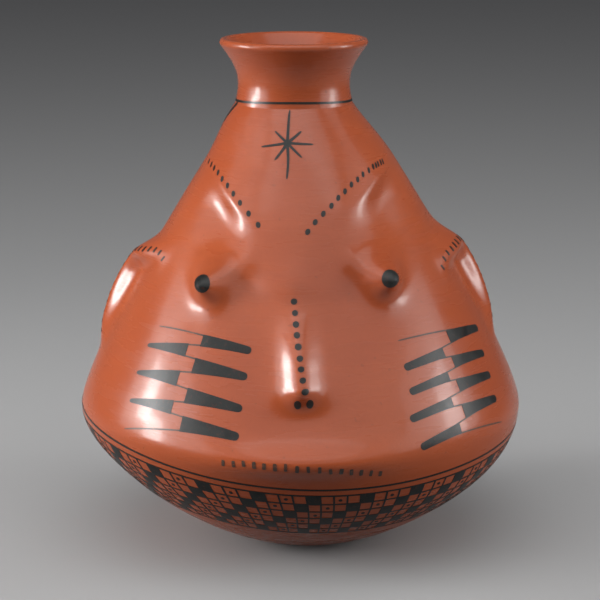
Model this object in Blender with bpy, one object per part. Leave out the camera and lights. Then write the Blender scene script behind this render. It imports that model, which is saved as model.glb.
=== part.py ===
"""Effigy vase: a hand-built, burnished pot whose wall is pressed out into a face.

The pot is six clay pieces, joined wet along scarfed seams: a moulded base, three broad coils, a neck coil
and a rim coil. Units are metres, +Z is up and the face looks to -Y. The origin is the middle of the foot,
on the surface that the pot stands on. A turn is an angle in degrees round the pot, from the middle of the
face to the viewer's right. A rise is a height above the belly, where the pot is widest.
"""

import math

import bmesh
import bpy
import numpy as np

# Outer wall
FOOT_RADIUS = 0.018
BELLY_RADIUS = 0.0878
BELLY_HEIGHT = 0.056
CONE_HEIGHT = 0.1195
NECK_ROOT_RADIUS = 0.023
NECK_HEIGHT = 0.0225
LIP_RADIUS = 0.0286
BELLY_SHIFT = -0.0026
BELLY_SHIFT_START = 0.028
NECK_SHIFT = -0.0026
NECK_SHIFT_START = 0.098

# Handles that shape the curves of the wall, as (outwards, upwards)
FOOT_HANDLE = (0.026, 0.004)
UNDER_BELLY_HANDLE = (0.0, -0.022)
OVER_BELLY_HANDLE = (0.0, 0.012)
CONE_TOP_HANDLE = (0.0335, -0.050)
NECK_ROOT_HANDLE = (-0.0026, 0.0100)
LIP_HANDLE = (-0.0064, -0.0085)

# Thickness of the clay
WALL = 0.0045
LIP_THICKNESS = 0.0032

# Clay pieces, and how far the inner edge of each seam is above its outer edge
BASE_BELOW_BELLY = 0.016
LOWER_COIL_HEIGHT = 0.044
FACE_COIL_HEIGHT = 0.042
RIM_COIL_HEIGHT = 0.009
SEAM_LAP = 0.006
RIM_SEAM_LAP = 0.003
SEAM_GAP = 0.0003

# Hollow of the face, between the brows and the cheeks
FACE_HOLLOW = (0.0, 0.0440)
FACE_HOLLOW_WIDTH = 0.030
FACE_HOLLOW_ABOVE = 0.022
FACE_HOLLOW_BELOW = 0.036
FACE_HOLLOW_DEPTH = 0.0050

# Brows: edges from the temple to the root of the nose, with the eye sockets below them
LEFT_BROW_TEMPLE = (-68.0, 0.0990)
LEFT_BROW_ROOT = (-15.0, 0.0770)
RIGHT_BROW_TEMPLE = (64.0, 0.0995)
RIGHT_BROW_ROOT = (4.0, 0.0760)
BROW_WIDTH = 0.0110
BROW_HEIGHT = 0.0006
SOCKET_DROP = 0.0128
SOCKET_DEPTH = 0.0036
LEFT_SOCKET_SHARE = 0.54
RIGHT_SOCKET_SHARE = 0.28
SOCKET_SPREAD = 0.30

# Eyes: a broad rise for each, with a low knob under the pupil and a lid ridge that runs inwards from it
LEFT_EYE = (-33.4, 0.0590)
RIGHT_EYE = (32.0, 0.0612)
EYE_WIDTH = 0.0106
EYE_PRESS = 0.0054
LEFT_PUPIL = (-32.6, 0.0590)
RIGHT_PUPIL = (30.0, 0.0610)
KNOB_WIDTH = 0.0066
KNOB_PRESS = 0.0034
LEFT_LID_END = (-21.0, 0.0672)
RIGHT_LID_END = (20.5, 0.0668)
LID_WIDTH = 0.0042
LID_PRESS = 0.0020
LEFT_CORNER = (-23.5, 0.0575)
RIGHT_CORNER = (21.5, 0.0580)
CORNER_WIDTH = 0.0085
CORNER_DEPTH = 0.0016

# Nose, from its root to its tip: a broad rise with a narrow bridge on it
NOSE_ROOT = (-1.8, 0.0560)
NOSE_TIP = (0.3, 0.0280)
NOSE_WIDTH = 0.0112
NOSE_ROOT_PRESS = 0.0034
NOSE_TIP_PRESS = 0.0046
BRIDGE_WIDTH = 0.0047
BRIDGE_PRESS = 0.0046
UNDER_NOSE = (0.6, 0.0185)
UNDER_NOSE_WIDTH = 0.0105
UNDER_NOSE_HEIGHT = 0.0058
UNDER_NOSE_PRESS = 0.0014

# Mouth, a broad low mound
MOUTH = (0.0, -0.0005)
MOUTH_WIDTH = 0.0310
MOUTH_HEIGHT = 0.0080
MOUTH_PRESS = 0.0060

# Ears, hooked ridges that open to the front
EAR_TURN = 78.0
LEFT_EAR_RISE = 0.0472
RIGHT_EAR_RISE = 0.0482
EAR_RADIUS = 0.066
EAR_HALF_WIDTH = 0.0138
EAR_HALF_HEIGHT = 0.0142
EAR_SQUARENESS = 3.0
LEFT_EAR_TILT = 0.0
RIGHT_EAR_TILT = 0.0030
EAR_RIDGE_WIDTH = 0.0057
EAR_TOP_PRESS = 0.0058
EAR_LOBE_PRESS = 0.0026
EAR_OPENING = 35.0
EAR_FADE = 55.0
EAR_PAD_PRESS = 0.0064
EAR_PAD_UP = 0.1

# Steps round the pot, closer together at the face, and rows of points up each wall as (outside, inside)
FACE_STEPS = 96
BASE_STEPS = 72
NECK_STEPS = 48
CROWDING = 0.35
BASE_ROWS = (10, 7)
COIL_ROWS = (11, 6)
FOREHEAD_ROWS = (10, 6)
NECK_ROWS = (6, 4)
RIM_ROWS = (5, 4)

# Burnished red clay
CLAY_COLOUR = (0.41, 0.088, 0.034, 1.0)
CLAY_ROUGHNESS = 0.3

NECK_ROOT_Z = BELLY_HEIGHT + CONE_HEIGHT
LIP_Z = NECK_ROOT_Z + NECK_HEIGHT
CURVE_POINTS = 60
LIP_POINTS = 4
SHARP_ANGLE = math.radians(40.0)
TINY = 1e-6


def clear_scene():
    """Removes every object that the scene starts with."""
    for item in list(bpy.data.objects):
        bpy.data.objects.remove(item, do_unlink=True)


def curve(start, start_handle, end, end_handle):
    """Points along a cubic curve with its handles given from its ends."""
    start = np.array(start)
    end = np.array(end)
    first = start + np.array(start_handle)
    second = end + np.array(end_handle)
    share = np.linspace(0.0, 1.0, CURVE_POINTS)[:, None]
    back = 1.0 - share
    ends = back**3 * start + share**3 * end
    return ends + 3.0 * back**2 * share * first + 3.0 * back * share**2 * second


def outer_profile():
    """The outer wall from the foot's edge to the lip, as (radius, height)."""
    foot = (FOOT_RADIUS, 0.0)
    belly = (BELLY_RADIUS, BELLY_HEIGHT)
    neck_root = (NECK_ROOT_RADIUS, NECK_ROOT_Z)
    lip = (LIP_RADIUS, LIP_Z)
    bowl = curve(foot, FOOT_HANDLE, belly, UNDER_BELLY_HANDLE)
    cone = curve(belly, OVER_BELLY_HANDLE, neck_root, CONE_TOP_HANDLE)
    neck = curve(neck_root, NECK_ROOT_HANDLE, lip, LIP_HANDLE)
    return np.vstack([bowl, cone[1:], neck[1:]])


def wall_normals(profile):
    """Directions square to the wall, pointing away from the clay."""
    ahead = np.gradient(profile, axis=0)
    outwards = np.stack([ahead[:, 1], -ahead[:, 0]], axis=1)
    return outwards / np.linalg.norm(outwards, axis=1)[:, None]


OUTER = outer_profile()
STEPS_ALONG = np.linalg.norm(np.diff(OUTER, axis=0), axis=1)
ALONG = np.concatenate([[0.0], np.cumsum(STEPS_ALONG)])
NECK_ROOT_ALONG = float(np.interp(NECK_ROOT_Z, OUTER[:, 1], ALONG))
THICKNESS = np.interp(ALONG, [NECK_ROOT_ALONG, ALONG[-1]], [WALL, LIP_THICKNESS])
INNER = OUTER - wall_normals(OUTER) * THICKNESS[:, None]


def along_at(height):
    """How far along the outer wall a height is."""
    return float(np.interp(height, OUTER[:, 1], ALONG))


def point_on(profile, along):
    """The (radius, height) of a profile at a distance along the outer wall."""
    return (float(np.interp(along, ALONG, profile[:, 0])), float(np.interp(along, ALONG, profile[:, 1])))


def run_on(profile, start, end, count):
    """Evenly spaced points of a profile between two distances along the outer wall."""
    return [point_on(profile, along) for along in np.linspace(start, end, count)]


def seam_step(lap):
    """Half of a seam's gap, measured along the wall instead of square to the seam."""
    return 0.5 * SEAM_GAP * math.hypot(WALL, lap) / WALL


def swell(distance):
    """A smooth bump: one at the middle, a third at a distance of one, and nothing far away."""
    return np.exp(-distance * distance)


def ease(share):
    """A smooth step from nothing to one."""
    share = np.clip(share, 0.0, 1.0)
    return share * share * (3.0 - 2.0 * share)


def spread_out(turn, rise):
    """How far round the wall a place is from the middle of the face."""
    return np.interp(BELLY_HEIGHT + rise, OUTER[:, 1], OUTER[:, 0]) * np.radians(turn)


def mound(across, rise, centre, width, height):
    """An oval bump round a (turn, rise) centre."""
    middle = spread_out(*centre)
    return swell(np.hypot((across - middle) / width, (rise - centre[1]) / height))


def beside(across, rise, start, end):
    """A place's share of the way from start to end, how far it is below that line and how far past its ends."""
    first = spread_out(*start)
    run = spread_out(*end) - first
    climb = end[1] - start[1]
    length = math.hypot(run, climb)
    share = ((across - first) * run + (rise - start[1]) * climb) / length**2
    below = ((across - first) * climb - (rise - start[1]) * run) / length
    beyond = length * np.abs(share - np.clip(share, 0.0, 1.0))
    return share, below * math.copysign(1.0, run), beyond


def face_hollow(across, rise):
    """The shallow hollow that the features stand in, steeper at its top."""
    height = np.where(rise > FACE_HOLLOW[1], FACE_HOLLOW_ABOVE, FACE_HOLLOW_BELOW)
    return -FACE_HOLLOW_DEPTH * mound(across, rise, FACE_HOLLOW, FACE_HOLLOW_WIDTH, height)


def brow(across, rise, temple, root, socket_share):
    """A low edge from temple to root, and the eye socket that drops away below it."""
    share, below, beyond = beside(across, rise, temple, root)
    edge = BROW_HEIGHT * swell(np.hypot(below, beyond) / BROW_WIDTH)
    drop = np.clip(below / SOCKET_DROP, 0.0, None)
    socket = drop**2 * np.exp(2.0 - 2.0 * drop) * swell((share - socket_share) / SOCKET_SPREAD)
    return edge - SOCKET_DEPTH * socket


def eye(across, rise, centre, pupil, lid_end, corner):
    """A broad rise, the knob under the pupil, the lid's ridge and the hollow of the inner corner."""
    broad = mound(across, rise, centre, EYE_WIDTH, EYE_WIDTH)
    knob = mound(across, rise, pupil, KNOB_WIDTH, KNOB_WIDTH)
    share, below, beyond = beside(across, rise, pupil, lid_end)
    lid = swell(np.hypot(below, beyond) / LID_WIDTH) * (1.0 - 0.6 * ease(share))
    hollow = mound(across, rise, corner, CORNER_WIDTH, CORNER_WIDTH)
    return EYE_PRESS * broad + KNOB_PRESS * knob + LID_PRESS * lid - CORNER_DEPTH * hollow


def nose(across, rise):
    """A broad rise with a narrow bridge on it, which both grow from the root to the tip."""
    share, below, beyond = beside(across, rise, NOSE_ROOT, NOSE_TIP)
    grown = ease(share)
    aside = np.hypot(below, beyond)
    broad = NOSE_ROOT_PRESS + (NOSE_TIP_PRESS - NOSE_ROOT_PRESS) * grown
    return broad * swell(aside / NOSE_WIDTH) + BRIDGE_PRESS * grown * swell(aside / BRIDGE_WIDTH)


def under_nose(across, rise):
    """The shallow hollow below the nostrils."""
    return -UNDER_NOSE_PRESS * mound(across, rise, UNDER_NOSE, UNDER_NOSE_WIDTH, UNDER_NOSE_HEIGHT)


def mouth(across, rise):
    """The mound that carries the mouth."""
    return MOUTH_PRESS * mound(across, rise, MOUTH, MOUTH_WIDTH, MOUTH_HEIGHT)


def ear(turn, rise, side, middle, tilt):
    """A hooked ridge, open to the front, round a low pad."""
    back = np.radians(side * turn - EAR_TURN) * EAR_RADIUS / EAR_HALF_WIDTH
    up = (rise - middle - tilt * back) / EAR_HALF_HEIGHT
    out = (np.abs(back) ** EAR_SQUARENESS + np.abs(up) ** EAR_SQUARENESS) ** (1.0 / EAR_SQUARENESS)
    around = np.degrees(np.arctan2(np.abs(up), -back))
    hook = ease((around - EAR_OPENING) / EAR_FADE)
    rim = swell((out - 1.0) * EAR_HALF_WIDTH / EAR_RIDGE_WIDTH) * hook
    press = EAR_LOBE_PRESS + (EAR_TOP_PRESS - EAR_LOBE_PRESS) * ease(0.5 + 0.5 * up)
    pad = EAR_PAD_PRESS * swell(np.hypot(back, up - EAR_PAD_UP))
    return press * rim + pad


def relief(turn, rise):
    """How far the face is pressed out of the wall at a place."""
    across = spread_out(turn, rise)
    press = face_hollow(across, rise) + nose(across, rise) + mouth(across, rise)
    press = press + under_nose(across, rise)
    press = press + brow(across, rise, LEFT_BROW_TEMPLE, LEFT_BROW_ROOT, LEFT_SOCKET_SHARE)
    press = press + brow(across, rise, RIGHT_BROW_TEMPLE, RIGHT_BROW_ROOT, RIGHT_SOCKET_SHARE)
    press = press + eye(across, rise, LEFT_EYE, LEFT_PUPIL, LEFT_LID_END, LEFT_CORNER)
    press = press + eye(across, rise, RIGHT_EYE, RIGHT_PUPIL, RIGHT_LID_END, RIGHT_CORNER)
    press = press + ear(turn, rise, -1.0, LEFT_EAR_RISE, LEFT_EAR_TILT)
    return press + ear(turn, rise, 1.0, RIGHT_EAR_RISE, RIGHT_EAR_TILT)


def sway(height):
    """How far to the side the hand-built pot's axis has wandered at a height."""
    to_belly = ease((height - BELLY_SHIFT_START) / (BELLY_HEIGHT - BELLY_SHIFT_START))
    to_neck = ease((height - BELLY_HEIGHT - NECK_SHIFT_START) / (CONE_HEIGHT - NECK_SHIFT_START))
    return BELLY_SHIFT * to_belly + NECK_SHIFT * to_neck


def press_out_face(mesh):
    """Moves a spun ring's points: crowds them to the face, presses the face out and leans the pot."""
    for point in mesh.verts:
        radius = math.hypot(point.co.x, point.co.y)
        even_turn = math.atan2(point.co.x, -point.co.y)
        turn = even_turn - CROWDING * math.sin(even_turn)
        if radius > TINY:
            radius += float(relief(math.degrees(turn), point.co.z - BELLY_HEIGHT))
        point.co.x = radius * math.sin(turn) + float(sway(point.co.z))
        point.co.y = -radius * math.cos(turn)


def clay_material(name):
    """Burnished red clay for one piece."""
    material = bpy.data.materials.new(name + "_clay")
    material.use_nodes = True
    shader = material.node_tree.nodes["Principled BSDF"]
    shader.inputs["Base Color"].default_value = CLAY_COLOUR
    shader.inputs["Roughness"].default_value = CLAY_ROUGHNESS
    shader.inputs["Metallic"].default_value = 0.0
    return material


def turned_piece(name, section, steps, closed):
    """A clay piece: its section spun round the pot, then pressed into the face."""
    mesh = bmesh.new()
    corners = [mesh.verts.new((0.0, -radius, height)) for radius, height in section]
    sides = [mesh.edges.new(pair) for pair in zip(corners, corners[1:])]
    if closed:
        sides.append(mesh.edges.new((corners[-1], corners[0])))
    bmesh.ops.spin(
        mesh,
        geom=corners + sides,
        cent=(0.0, 0.0, 0.0),
        axis=(0.0, 0.0, 1.0),
        angle=2.0 * math.pi,
        steps=steps,
        use_merge=True,
    )
    bmesh.ops.remove_doubles(mesh, verts=mesh.verts, dist=TINY)
    press_out_face(mesh)
    bmesh.ops.recalc_face_normals(mesh, faces=mesh.faces)
    # Facing seams split along the same diagonals, so that the gap between them stays even
    bmesh.ops.triangulate(mesh, faces=mesh.faces, quad_method="SHORT_EDGE")
    data = bpy.data.meshes.new(name)
    mesh.to_mesh(data)
    mesh.free()
    data.shade_smooth()
    data.set_sharp_from_angle(angle=SHARP_ANGLE)
    data.materials.append(clay_material(name))
    piece = bpy.data.objects.new(name, data)
    bpy.context.collection.objects.link(piece)
    return piece


def coil_section(bottom, bottom_lap, top, top_lap, rows):
    """A coil's section between two seams, each given by its outer edge's distance along the wall."""
    low = bottom + seam_step(bottom_lap)
    high = top - seam_step(top_lap)
    outside = run_on(OUTER, low, high, rows[0])
    inside = run_on(INNER, high + top_lap, low + bottom_lap, rows[1])
    return outside + inside


def base_section(top, rows):
    """The base's section, from the middle of the foot out, up and back to the middle of the floor."""
    high = top - seam_step(SEAM_LAP)
    outside = run_on(OUTER, 0.0, high, rows[0])
    inside = run_on(INNER, high + SEAM_LAP, 0.0, rows[1])
    return [(0.0, 0.0)] + outside + inside + [(0.0, inside[-1][1])]


def rim_section(bottom, rows):
    """The rim's section, with the lip rounded over from the outer wall to the inner wall."""
    low = bottom + seam_step(RIM_SEAM_LAP)
    lip = ALONG[-1]
    outside = run_on(OUTER, low, lip, rows[0])
    inside = run_on(INNER, lip, low + RIM_SEAM_LAP, rows[1])
    outer_edge = np.array(outside[-1])
    inner_edge = np.array(inside[0])
    middle = 0.5 * (outer_edge + inner_edge)
    spread = 0.5 * (outer_edge - inner_edge)
    upwards = np.array([-spread[1], spread[0]])
    rounds = []
    for angle in np.linspace(0.0, math.pi, LIP_POINTS + 2)[1:-1]:
        rounds.append(tuple(middle + spread * math.cos(angle) + upwards * math.sin(angle)))
    return outside + rounds + inside


def build():
    """Makes the six clay pieces, from the foot to the lip."""
    base_top_height = BELLY_HEIGHT - BASE_BELOW_BELLY
    base_top = along_at(base_top_height)
    lower_top = along_at(base_top_height + LOWER_COIL_HEIGHT)
    face_top = along_at(base_top_height + LOWER_COIL_HEIGHT + FACE_COIL_HEIGHT)
    rim_bottom = along_at(LIP_Z - RIM_COIL_HEIGHT)
    lower = coil_section(base_top, SEAM_LAP, lower_top, SEAM_LAP, COIL_ROWS)
    face = coil_section(lower_top, SEAM_LAP, face_top, SEAM_LAP, COIL_ROWS)
    forehead = coil_section(face_top, SEAM_LAP, NECK_ROOT_ALONG, SEAM_LAP, FOREHEAD_ROWS)
    neck = coil_section(NECK_ROOT_ALONG, SEAM_LAP, rim_bottom, RIM_SEAM_LAP, NECK_ROWS)
    turned_piece("base_tortilla", base_section(base_top, BASE_ROWS), BASE_STEPS, False)
    turned_piece("lower_wall_coil", lower, FACE_STEPS, True)
    turned_piece("face_wall_coil", face, FACE_STEPS, True)
    turned_piece("forehead_coil", forehead, FACE_STEPS, True)
    turned_piece("neck_coil", neck, NECK_STEPS, True)
    turned_piece("rim_coil", rim_section(rim_bottom, RIM_ROWS), NECK_STEPS, True)


clear_scene()
build()
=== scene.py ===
"""Looks of the effigy vase: burnished red clay pressed out into a face and painted with black slip.

Units are metres, +Z is up and the face looks to -Y. A turn is an angle in degrees round the pot, from the
middle of the face to the viewer's right. A rise is a height above the belly, where the pot is widest. A
distance along the wall is measured up the unpressed outer wall, from the edge of the foot.
"""

import math

import bmesh
import bpy
import numpy as np
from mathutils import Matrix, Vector


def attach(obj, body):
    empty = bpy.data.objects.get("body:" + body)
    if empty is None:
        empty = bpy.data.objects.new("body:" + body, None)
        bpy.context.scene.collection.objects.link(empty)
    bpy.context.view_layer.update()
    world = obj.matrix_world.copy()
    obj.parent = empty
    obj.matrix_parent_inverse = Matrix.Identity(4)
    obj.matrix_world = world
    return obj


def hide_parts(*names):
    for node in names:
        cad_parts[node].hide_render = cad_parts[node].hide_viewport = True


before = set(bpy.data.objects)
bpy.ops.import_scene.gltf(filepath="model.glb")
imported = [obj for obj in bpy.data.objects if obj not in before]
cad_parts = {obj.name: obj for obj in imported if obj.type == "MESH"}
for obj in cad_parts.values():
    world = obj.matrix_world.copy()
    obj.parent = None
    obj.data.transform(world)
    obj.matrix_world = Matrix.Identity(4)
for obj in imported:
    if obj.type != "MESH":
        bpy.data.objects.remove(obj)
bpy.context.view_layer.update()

# Outer wall
FOOT_RADIUS = 0.018
BELLY_RADIUS = 0.0878
BELLY_HEIGHT = 0.056
CONE_HEIGHT = 0.1195
NECK_ROOT_RADIUS = 0.023
NECK_HEIGHT = 0.0225
LIP_RADIUS = 0.0286
BELLY_SHIFT = -0.0026
BELLY_SHIFT_START = 0.028
NECK_SHIFT = -0.0026
NECK_SHIFT_START = 0.098

# Handles that shape the curves of the wall, as (outwards, upwards)
FOOT_HANDLE = (0.026, 0.004)
UNDER_BELLY_HANDLE = (0.0, -0.022)
OVER_BELLY_HANDLE = (0.0, 0.012)
CONE_TOP_HANDLE = (0.0335, -0.050)
NECK_ROOT_HANDLE = (-0.0026, 0.0100)
LIP_HANDLE = (-0.0064, -0.0085)

# Thickness of the clay
WALL = 0.0045
LIP_THICKNESS = 0.0032

# Clay pieces, and how far the inner edge of each seam is above its outer edge
BASE_BELOW_BELLY = 0.016
LOWER_COIL_HEIGHT = 0.044
FACE_COIL_HEIGHT = 0.042
RIM_COIL_HEIGHT = 0.009
SEAM_LAP = 0.006
RIM_SEAM_LAP = 0.003

# Hollow of the face, between the brows and the cheeks
FACE_HOLLOW = (0.0, 0.0440)
FACE_HOLLOW_WIDTH = 0.030
FACE_HOLLOW_ABOVE = 0.022
FACE_HOLLOW_BELOW = 0.036
FACE_HOLLOW_DEPTH = 0.0050

# Brows: edges from the temple to the root of the nose, with the eye sockets below them
LEFT_BROW_TEMPLE = (-68.0, 0.0990)
LEFT_BROW_ROOT = (-15.0, 0.0770)
RIGHT_BROW_TEMPLE = (64.0, 0.0995)
RIGHT_BROW_ROOT = (4.0, 0.0760)
BROW_WIDTH = 0.0110
BROW_HEIGHT = 0.0006
SOCKET_DROP = 0.0128
SOCKET_DEPTH = 0.0036
LEFT_SOCKET_SHARE = 0.54
RIGHT_SOCKET_SHARE = 0.28
SOCKET_SPREAD = 0.30

# Eyes: a broad rise for each, with a low knob under the pupil and a lid ridge that runs inwards from it
LEFT_EYE = (-33.4, 0.0590)
RIGHT_EYE = (32.0, 0.0612)
EYE_WIDTH = 0.0086
EYE_PRESS = 0.0054
LEFT_PUPIL = (-32.6, 0.0590)
RIGHT_PUPIL = (30.0, 0.0610)
KNOB_WIDTH = 0.0060
KNOB_PRESS = 0.0036
LEFT_LID_END = (-21.0, 0.0672)
RIGHT_LID_END = (20.5, 0.0668)
LID_WIDTH = 0.0042
LID_PRESS = 0.0020
LID_FADE = 0.6
LEFT_CORNER = (-23.5, 0.0575)
RIGHT_CORNER = (21.5, 0.0580)
CORNER_WIDTH = 0.0085
CORNER_DEPTH = 0.0016

# Nose, from its root to its tip: a broad rise with a narrow bridge on it, and a shallow hollow below it
NOSE_ROOT = (-1.8, 0.0560)
NOSE_TIP = (0.3, 0.0252)
NOSE_WIDTH = 0.0112
NOSE_GROWN_SHARE = 0.75
NOSE_ROOT_PRESS = 0.0034
NOSE_TIP_PRESS = 0.0046
BRIDGE_WIDTH = 0.0054
BRIDGE_PRESS = 0.0046
UNDER_NOSE = (0.6, 0.0160)
UNDER_NOSE_WIDTH = 0.0095
UNDER_NOSE_HEIGHT = 0.0058
UNDER_NOSE_DEPTH = 0.0015

# Mouth, a broad low mound
MOUTH = (0.0, -0.0010)
MOUTH_WIDTH = 0.0310
MOUTH_HEIGHT = 0.0060
MOUTH_PRESS = 0.0060

# Ears, hooked ridges that open to the front, with openings and fades in degrees round the ear
EAR_TURN = 75.7
LEFT_EAR_RISE = 0.0455
RIGHT_EAR_RISE = 0.0470
EAR_RADIUS = 0.066
EAR_HALF_WIDTH = 0.0165
EAR_HALF_HEIGHT = 0.0178
EAR_SQUARENESS = 3.5
LEFT_EAR_TILT = -0.0020
RIGHT_EAR_TILT = 0.0034
EAR_RIDGE_WIDTH = 0.0046
EAR_TOP_PRESS = 0.0066
EAR_LOBE_PRESS = 0.0030
EAR_OPENING = 20.0
EAR_LOBE_OPENING = 98.0
EAR_FADE = 100.0
EAR_LOBE_FADE = 55.0
EAR_BACK_PRESS = 0.0022
EAR_BACK_SPREAD = 0.9

# Steps round the pot, closer together at the face, and the spacing of the rows of points up the wall
STEPS = 480
CROWDING = 0.35
OUTER_ROW = 0.0011
INNER_ROW = 0.0030
EDGE_ROWS = (0.00004, 0.00015, 0.0004)
LIP_POINTS = 10
CURVE_POINTS = 240
SHARP_ANGLE = math.radians(25.0)
TINY = 1e-6

# Small steps that find the directions of the wall and of a stroke, and the points that measure a stroke
TURN_NUDGE = 0.02
ALONG_NUDGE = 0.00005
SHARE_NUDGE = 0.001
PATH_POINTS = 17

# Black slip, laid on by brush: its lift off the clay, its thickness, its facets, lines and unsteadiness
SLIP_LIFT = 0.00010
FINE_LIFT = 0.00003
PUPIL_LIFT = 0.00022
SLIP_THICKNESS = 0.00012
SLIP_STEP = 0.0010
LEAST_STEPS = 8
LINE_WIDTH = 0.0009
FINE_LINE_WIDTH = 0.0006
RING_PART = 30
HAND_WOBBLE = 0.00012
HAND_SEED = 11

# Ends of brush lines: how long they keep their width, how round they end and how much they thin
BLUNT_POWER = 12
BLUNT_ROUNDING = 0.4
TAPER_POWER = 16
TAPER_ROUNDING = 0.5
TAPER_THINNING = 0.35

# Line round the root of the neck, and the one that runs down from it
NECK_LINE_RISE = 0.1207
NECK_LINE_FRONT_RISE = 0.0011
HAIR_LINE_TOP = (-72.5, 0.1204)
HAIR_LINE_END = (-128.0, 0.0962)
HAIR_LINE_WIDTH = 0.0022

# Star on the forehead, with the tips of its arms
STAR = (-7.2, 0.1077)
STAR_LONG_TIPS = ((-3.6, 0.1193), (10.9, 0.1072), (-7.7, 0.0951), (-26.2, 0.1060))
STAR_SHORT_TIPS = ((4.5, 0.1119), (1.5, 0.1026), (-16.1, 0.1016), (-16.2, 0.1118))
STAR_WIDTH = 0.0012

# Brow marks, ticks at the temple that grow into dots at the root of the nose
LEFT_MARKS = ((-71.0, 0.0978), (-18.9, 0.0791))
LEFT_MARKS_BULGE = (0.0, 0.0042)
LEFT_MARKS_SHARES = np.linspace(0.0, 1.0, 10)
LEFT_MARKS_SLANT = -25.0
RIGHT_MARKS = ((59.0, 0.0991), (3.0, 0.0773))
RIGHT_MARKS_BULGE = (-3.0, 0.0044)
RIGHT_MARKS_SHARES = np.append(np.linspace(0.0, 0.17, 5), np.linspace(0.25, 1.0, 10))
RIGHT_MARKS_SLANT = 20.0
TICK_LENGTH = 0.0026
TICK_WIDTH = 0.0009
DOT_LENGTH = 0.0026
DOT_WIDTH = 0.0019

# Pupils
PUPIL_HEIGHT = 0.0072
PUPIL_WIDTH = 0.0054
PUPIL_SLANT = 24.0

# Nose dots and nostrils
NOSE_DOTS = ((-2.3, 0.0535), (1.0, 0.0248))
NOSE_DOT_COUNT = 9
NOSE_DOT_SIZE = 0.0025
NOSE_DOT_SPREAD = (0.9, 1.1)
NOSTRILS = ((-0.75, 0.0193), (2.4, 0.0195))
NOSTRIL_HEIGHT = 0.0040
NOSTRIL_WIDTH = 0.0027

# Mouth, a row of upright ticks
MOUTH_TICKS = ((-18.3, -0.0015), (19.3, -0.0067))
MOUTH_TICKS_BULGE = (0.0, 0.0022)
MOUTH_TICK_COUNT = 16
MOUTH_TICK_HEIGHT = 0.0028
MOUTH_TICK_HEIGHT_SPREAD = (0.85, 1.1)
MOUTH_TICK_WIDTH = 0.0013
MOUTH_TICK_WIDTH_SPREAD = (0.8, 1.15)
MOUTH_TICK_TILT = 4.0

# Cheek zigzags, from the top down, and the shares of their corners that are filled
LEFT_OUTER_CORNERS = ((-49.1, 0.0403), (-51.0, 0.0331), (-51.2, 0.0232), (-50.2, 0.0133), (-49.6, 0.0030))
LEFT_INNER_CORNERS = ((-15.0, 0.0359), (-15.1, 0.0272), (-15.3, 0.0166), (-15.2, 0.0073))
LEFT_INNER_FILL = 0.46
LEFT_OUTER_FILL = 0.44
RIGHT_OUTER_CORNERS = ((69.0, 0.0350), (65.3, 0.0265), (63.6, 0.0188), (62.1, 0.0104), (62.0, 0.0013))
RIGHT_INNER_CORNERS = ((30.6, 0.0382), (30.4, 0.0289), (30.2, 0.0206), (28.6, 0.0115), (30.2, 0.0014))
RIGHT_INNER_FILL = 0.42
RIGHT_OUTER_FILL = 0.49

# Ends of the filled corners, as width and share of the length, how slim the corners are and their bow
BLUNT_TIP = (0.0028, 0.06)
FINE_TIP = (0.0014, 0.05)
LEFT_SLIMNESS = 1.0
RIGHT_SLIMNESS = 0.8
CHEEK_BULGE = (0.0, 0.0020)

# Ticks along the rims of the ears, by degrees round the ear from the front over the top
EAR_TICK_COUNT = 17
EAR_TICKS_START = 44.0
EAR_TICKS_END = 225.0
EAR_TICKS_OUT = 1.04
EAR_TICK_LENGTH = 0.0024
EAR_TICK_WIDTH = 0.0009
EAR_TICK_SLANT = 0.5

# Lines under the belly, which dip under the mouth and lean to one side
BELLY_LINE_RISE = -0.0015
BELLY_LINE_DIP = -0.0110
BELLY_LINE_DIP_WIDTH = 58.0
BELLY_LINE_LEAN = -0.0038
BAND_BELOW_LINE = 0.0030

# Checked band: a block, a bare square, a dotted square and a bare square, a square further round each row
CELLS_ROUND = 100
CELL_ROWS = 6
CELL_HEIGHT = 0.0054
CELL_CYCLE = 4
DOTTED_CELL = 2
BLOCK_TURN = 1.9
CELL_FACETS = 5
CELL_LINE_SHARE = 0.15
CELL_DOT_SIZE = 0.0015

# How much of a noise is used
NOISE_RANGE = (0.3, 0.7)

# Burnished red clay, whose gloss fades out below the belly, between two heights
CLAY_LIGHT = (0.435, 0.092, 0.030, 1.0)
CLAY_DARK = (0.365, 0.069, 0.021, 1.0)
CLAY_DEEP = (0.250, 0.045, 0.016, 1.0)
# Colour of the small dark specks scattered at random over the clay
CLAY_SPECK = (0.080, 0.020, 0.010, 1.0)
CLAY_ROUGHNESS = 0.27
CLAY_SPECULAR = 0.36
CLAY_COAT = 0.25
CLAY_COAT_ROUGHNESS = 0.10
BOWL_GLOSS = 0.25
GLOSS_HEIGHTS = (0.047, 0.065)
CLOUD_SCALE = 16.0
CLOUD_DETAIL = 3.0
CLOUD_DULLNESS = (-0.02, 0.03)
GRAIN_SCALE = 900.0
GRAIN_DETAIL = 4.0
GRAIN_SHADE = 0.16
STROKE_SCALE = 40.0
STROKE_DETAIL = 3.0
STROKE_STRETCH = (1.0, 1.0, 7.0)
STROKE_SHADE = 0.12
STROKE_DULLNESS = 0.05
# Dark specks scattered at random through the clay's colour, as flat colour with no hollow in the surface
SPECK_SCALE = 420.0
SPECK_DETAIL = 1.0
SPECK_RANGE = (0.73, 0.78)
SPECK_DARKNESS = 0.25
BURNISH_DEPTH = 0.00003

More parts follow.
